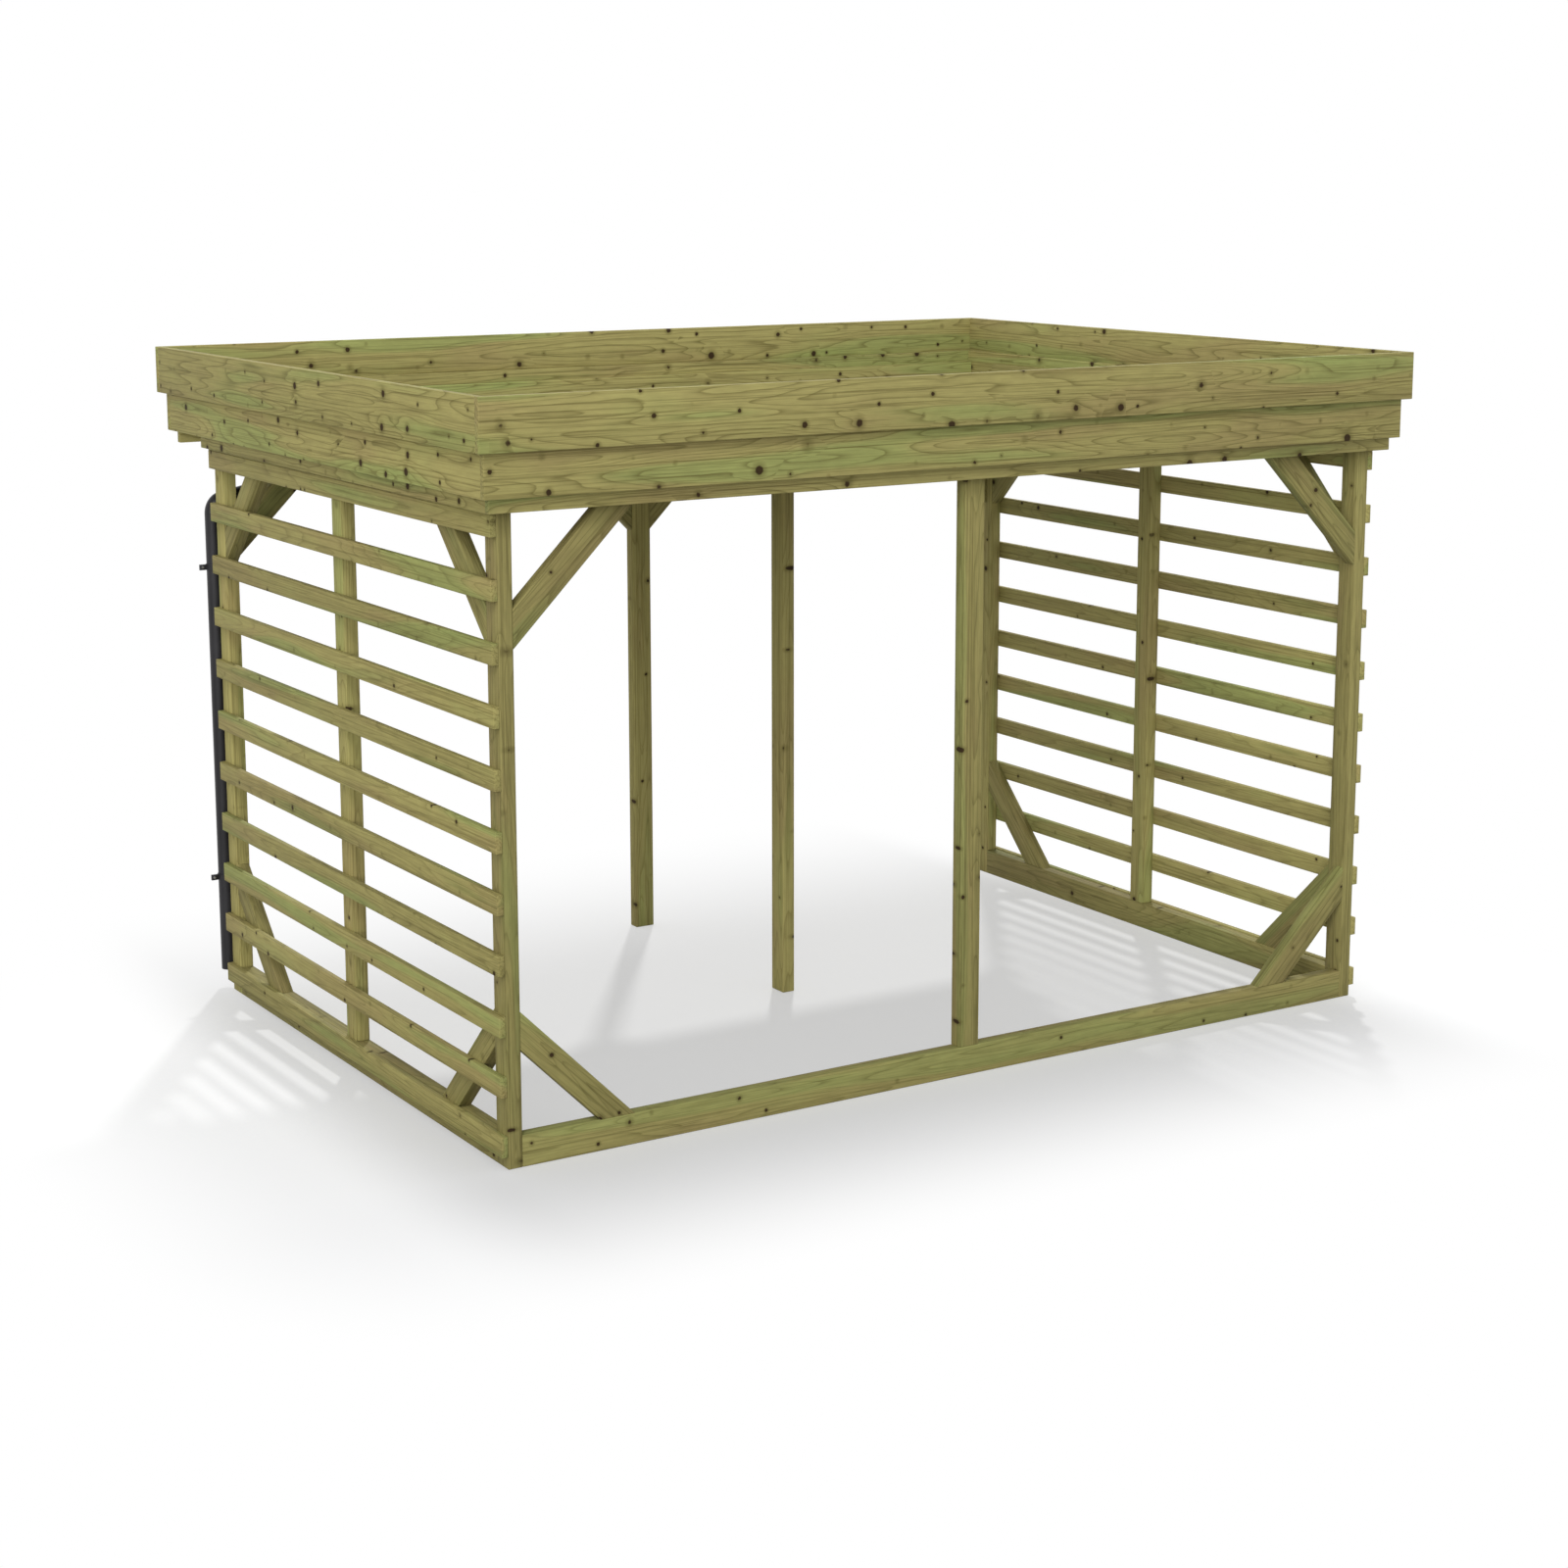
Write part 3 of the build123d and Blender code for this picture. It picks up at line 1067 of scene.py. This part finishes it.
@dataclass
class Rainwater:
    """Gutter, downpipe and clamps."""

    finishes: Finishes
    pipe_radius: float = 0.030
    pipe_wall: float = 0.0018
    bend_radius: float = 0.047
    pipe_place: Vector = field(default_factory=lambda: Vector((-1.690, 1.092, 0.065)))
    elbow: Vector = field(default_factory=lambda: Vector((-1.690, 1.092, 1.789)))
    swan_neck: Vector = field(default_factory=lambda: Vector((-1.400, 1.189, 1.829)))
    outlet: Vector = field(default_factory=lambda: Vector((-1.400, 1.189, 1.996)))
    sides: int = 48
    bend_steps: int = 14
    clamp_levels: Tuple[float, float] = (0.414, 1.557)
    ear_reach: float = 0.018
    ear_half: float = 0.004
    head_radius: float = 0.0048
    head_height: float = 0.003
    head_sides: int = 6
    head_ease: float = 0.0005
    strap_count: int = 6
    strap_width: float = 0.025
    strap_gauge: float = 0.003
    strap_ease: float = 0.0006

    def build(self) -> None:
        """Builds all the rainwater goods."""
        self.downpipe()
        self.clamps()
        self.gutter()

    def downpipe(self) -> None:
        """Builds the pipe by extruding and spinning its rim along its run."""
        bm = bmesh.new()
        bmesh.ops.create_circle(
            bm,
            segments=self.sides,
            radius=self.pipe_radius,
            matrix=Matrix.Translation(self.pipe_place),
        )
        edges = bm.edges[:]
        up = Vector((0, 0, 1))
        slant = (self.swan_neck - self.elbow).normalized()
        lean = up.angle(slant)
        cut = self.bend_radius * math.tan(lean / 2)
        edges = self.straight(bm, edges, self.elbow - up * cut - self.pipe_place)
        edges = self.bend(bm, edges, self.elbow, up, slant)
        run = self.swan_neck - self.elbow
        edges = self.straight(bm, edges, run - slant * 2 * cut)
        edges = self.bend(bm, edges, self.swan_neck, slant, up)
        self.straight(bm, edges, self.outlet - self.swan_neck - up * cut)
        bmesh.ops.recalc_face_normals(bm, faces=bm.faces[:])
        bmesh.ops.solidify(bm, geom=bm.faces[:], thickness=self.pipe_wall)
        shown("visual_downpipe", bm, self.finishes.pipe, ["downpipe"])

    @staticmethod
    def straight(
        bm: bmesh.types.BMesh, edges: Sequence[bmesh.types.BMEdge], run: Vector
    ) -> List[bmesh.types.BMEdge]:
        """Extrudes the rim straight on.

        Args:
            bm: The pipe's mesh.
            edges: The open rim.
            run: How far and which way.

        Returns:
            The new open rim.
        """
        made = bmesh.ops.extrude_edge_only(bm, edges=list(edges))["geom"]
        verts = [item for item in made if isinstance(item, bmesh.types.BMVert)]
        bmesh.ops.translate(bm, verts=verts, vec=run)
        moved = set(verts)
        found = [item for item in made if isinstance(item, bmesh.types.BMEdge)]
        return [edge for edge in found if moved.issuperset(edge.verts)]

    def bend(
        self,
        bm: bmesh.types.BMesh,
        edges: Sequence[bmesh.types.BMEdge],
        corner: Vector,
        before: Vector,
        after: Vector,
    ) -> List[bmesh.types.BMEdge]:
        """Spins the rim round a bend.

        Args:
            bm: The pipe's mesh.
            edges: The open rim.
            corner: Where the two straight lines meet.
            before: The direction into the bend.
            after: The direction out of it.

        Returns:
            The new open rim.
        """
        axis = before.cross(after).normalized()
        angle = before.angle(after)
        inward = axis.cross(before).normalized()
        tangent = corner - before * self.bend_radius * math.tan(angle / 2)
        made = bmesh.ops.spin(
            bm,
            geom=list(edges),
            cent=tangent + inward * self.bend_radius,
            axis=axis,
            dvec=(0, 0, 0),
            angle=angle,
            steps=self.bend_steps,
            use_merge=False,
            use_duplicate=False,
        )
        last = made["geom_last"]
        return [item for item in last if isinstance(item, bmesh.types.BMEdge)]

    def clamps(self) -> None:
        """Dresses the clamps and adds a screw through each ear."""
        node = "pipe_clamps"
        finish = self.finishes.pipe
        shown("visual_" + node, copied(node), finish, [node])
        bm = bmesh.new()
        for level in self.clamp_levels:
            for sign in (-1, 1):
                for face in (-1, 1):
                    self.screw_head(bm, level, sign, face)
        eased(bm, self.head_ease)
        shown("clamp_screws", bm, self.finishes.zinc)

    def screw_head(self, bm: bmesh.types.BMesh, level: float, sign: int, face: int) -> None:
        """Adds one hexagon head on an ear of a clamp.

        Args:
            bm: The mesh that it joins.
            level: The clamp's height.
            sign: -1 for the left ear and 1 for the right one.
            face: -1 for the ear's front and 1 for its rear.
        """
        out = sign * (self.pipe_radius + self.ear_reach)
        spot = Vector((self.pipe_place.x + out, self.pipe_place.y, level))
        spot.y += face * (self.ear_half + self.head_height / 2)
        turn = Matrix.Rotation(math.radians(90), 4, "X")
        bmesh.ops.create_cone(
            bm,
            cap_ends=True,
            segments=self.head_sides,
            radius1=self.head_radius,
            radius2=self.head_radius,
            depth=self.head_height,
            matrix=Matrix.Translation(spot) @ turn,
        )

    def gutter(self) -> None:
        """Dresses the gutter and hangs it from straps."""
        for part in ("floor", "front_wall", "rear_wall", "ends"):
            node = "gutter_" + part
            finish = self.finishes.gutter
            shown("visual_" + node, copied(node), finish, [node])
        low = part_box("gutter_front_wall")[0]
        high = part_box("gutter_rear_wall")[1]
        bm = bmesh.new()
        for index in range(self.strap_count):
            share = (index + 0.5) / self.strap_count
            x = low.x + (high.x - low.x) * share
            made = bmesh.ops.create_cube(bm, size=1.0)["verts"]
            size = (self.strap_width, high.y - low.y, self.strap_gauge)
            bmesh.ops.scale(bm, verts=made, vec=size)
            place = Vector((x, (low.y + high.y) / 2, high.z - self.strap_gauge / 2))
            bmesh.ops.translate(bm, verts=made, vec=place)
        eased(bm, self.strap_ease)
        shown("gutter_straps", bm, self.finishes.zinc)


@dataclass(frozen=True)
class Lamp:
    """A far lamp, with where it hangs, its strength and its spread in degrees."""

    name: str
    towards: Direction
    strength: float
    spread: float
    lights_floor: bool

    def hang(self, store: bpy.types.Collection) -> None:
        """Adds the lamp.

        Args:
            store: The store's pieces, for a lamp that leaves the floor out.
        """
        data = bpy.data.lights.new(self.name, "SUN")
        data.energy = self.strength
        data.angle = math.radians(self.spread)
        lamp = bpy.data.objects.new(self.name, data)
        lamp.rotation_mode = "QUATERNION"
        lamp.rotation_quaternion = Vector(self.towards).to_track_quat("Z", "Y")
        bpy.context.scene.collection.objects.link(lamp)
        lamp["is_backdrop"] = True
        if not self.lights_floor:
            lamp.light_linking.receiver_collection = store


@dataclass
class Studio:
    """Camera, floor, lamps and sky.

    The floor fades to white past a box round the store: fade_half to each side of
    fade_middle, up to the roof's edge in front and fade_back behind. At the sides the
    fade starts side_reach further out. The floor is lighter there by side_glow, and
    the box ends sooner behind by side_back. A haste is how fast the floor fades.
    """

    eye: Vector = field(default_factory=lambda: Vector((-5.28367, -8.51824, 2.97835)))
    yaw: float = 32.29
    pitch: float = -10.43
    sensor: float = 36.0
    image_side: float = 1600.0
    focal_pixels: float = 2880.87
    centre_x: float = 815.20
    centre_y: float = 697.39
    far_clip: float = 300.0
    floor_side: float = 80.0
    floor_drop: float = 0.001
    sky: float = 0.50
    floor_grey: float = 0.56
    floor_glow: Colour = (0.440, 0.443, 0.449)
    lamp_list: Tuple[Lamp, ...] = (
        Lamp("high_lamp", (0.564, 0.826, 1.05), 1.15, 3.0, True),
        Lamp("top_lamp", (0.564, 0.826, 1.05), 0.35, 3.0, False),
        Lamp("front_lamp", (-0.50, -0.80, 1.00), 1.05, 20.0, False),
        Lamp("side_lamp", (-1.12, -1.00, 0.22), 1.75, 40.0, False),
    )
    fade_middle: float = -0.125
    fade_half: float = 1.625
    fade_back: float = 0.45
    side_haste: float = 1.25
    side_reach: float = 0.45
    side_glow: float = 0.46
    side_back: float = 0.6
    back_haste: float = 0.54

    def build(self) -> None:
        """Builds the studio."""
        self.camera()
        self.floor()
        self.lamps()
        self.world()

    def camera(self) -> None:
        """Places the camera where the photograph was taken."""
        data = bpy.data.cameras.new("camera")
        data.sensor_width = self.sensor
        data.lens = self.focal_pixels / self.image_side * self.sensor
        half = self.image_side / 2
        data.shift_x = (half - self.centre_x) / self.image_side
        data.shift_y = (self.centre_y - half) / self.image_side
        data.clip_end = self.far_clip
        camera = bpy.data.objects.new("camera", data)
        bpy.context.scene.collection.objects.link(camera)
        camera.location = self.eye
        tilt = math.radians(90 + self.pitch)
        camera.rotation_euler = (tilt, 0.0, math.radians(-self.yaw))
        bpy.context.scene.camera = camera

    def floor(self) -> None:
        """Lays a white floor that keeps the shadow."""
        bm = bmesh.new()
        bmesh.ops.create_grid(bm, x_segments=1, y_segments=1, size=self.floor_side / 2)
        mesh = bpy.data.meshes.new("floor")
        bm.to_mesh(mesh)
        bm.free()
        tree = Tree.named("floor_white")
        seen = tree.seen()
        grey = (self.floor_grey, self.floor_grey, self.floor_grey, 1.0)
        matt = tree.node("ShaderNodeBsdfDiffuse", {}, {"Color": grey})
        plain = tree.node("ShaderNodeEmission", {}, {"Color": WHITE, "Strength": 1.0})
        place = tree.node("ShaderNodeTexCoord", {}, {}, "Object")
        apart = tree.node("ShaderNodeSeparateXYZ", {}, {0: place}, 0)
        depth = apart.beside(1)
        across = (apart - self.fade_middle).math("ABSOLUTE") - self.fade_half
        beside = across.step(0.0, self.side_reach)
        brighter = tuple(part * (1.0 + self.side_glow) for part in self.floor_glow)
        shine = tree.mix(self.floor_glow, brighter, beside)
        glow = tree.node("ShaderNodeEmission", {}, {"Color": shine, "Strength": 1.0})
        both = tree.node("ShaderNodeAddShader", {}, {0: matt, 1: glow})
        both = tree.node("ShaderNodeMixShader", {}, {0: seen, 1: matt, 2: both})
        across = ((across - self.side_reach) * self.side_haste).math("MAXIMUM", 0.0)
        behind = depth - self.fade_back + beside * self.side_back
        behind = behind * self.back_haste
        along = (CAD_LOW.y - depth).math("MAXIMUM", behind).math("MAXIMUM", 0.0)
        distance = (across * across + along * along) ** 0.5
        fade = distance.step(0.0, 1.0) * seen
        faded = tree.node("ShaderNodeMixShader", {}, {0: fade, 1: both, 2: plain})
        tree.node("ShaderNodeOutputMaterial", {}, {"Surface": faded})
        mesh.materials.append(tree.owner)
        floor = bpy.data.objects.new("floor", mesh)
        bpy.context.scene.collection.objects.link(floor)
        floor.location.z = -self.floor_drop
        floor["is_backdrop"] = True

    def lamps(self) -> None:
        """Hangs the lamps."""
        store = bpy.data.collections.new("lit_by_front_lamp")
        for piece in bpy.context.scene.objects:
            if piece.type == "MESH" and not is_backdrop(piece):
                store.objects.link(piece)
        for lamp in self.lamp_list:
            lamp.hang(store)

    def world(self) -> None:
        """Lights the scene evenly and shows a white sky."""
        world = bpy.data.worlds.new("sky")
        tree = Tree(world)
        light, back = [
            tree.node("ShaderNodeBackground", {}, {"Color": WHITE, "Strength": strength})
            for strength in (self.sky, 1.0)
        ]
        sky = tree.node("ShaderNodeMixShader", {}, {0: tree.seen(), 1: light, 2: back})
        tree.node("ShaderNodeOutputWorld", {}, {"Surface": sky})
        bpy.context.scene.world = world


def main() -> None:
    """Builds the store and its studio."""
    logging.basicConfig(level=logging.INFO, format="%(name)s: %(message)s")
    bpy.context.scene.view_settings.view_transform = "Standard"
    finishes = Finishes()
    for part in (
        Fascia(finishes),
        OpenFrame(finishes),
        SlatWalls(finishes),
        Roof(finishes),
        Rainwater(finishes),
        Studio(),
    ):
        part.build()
        log.info("%s is built", type(part).__name__)
    bpy.context.view_layer.update()


if __name__ == "__main__":
    main()
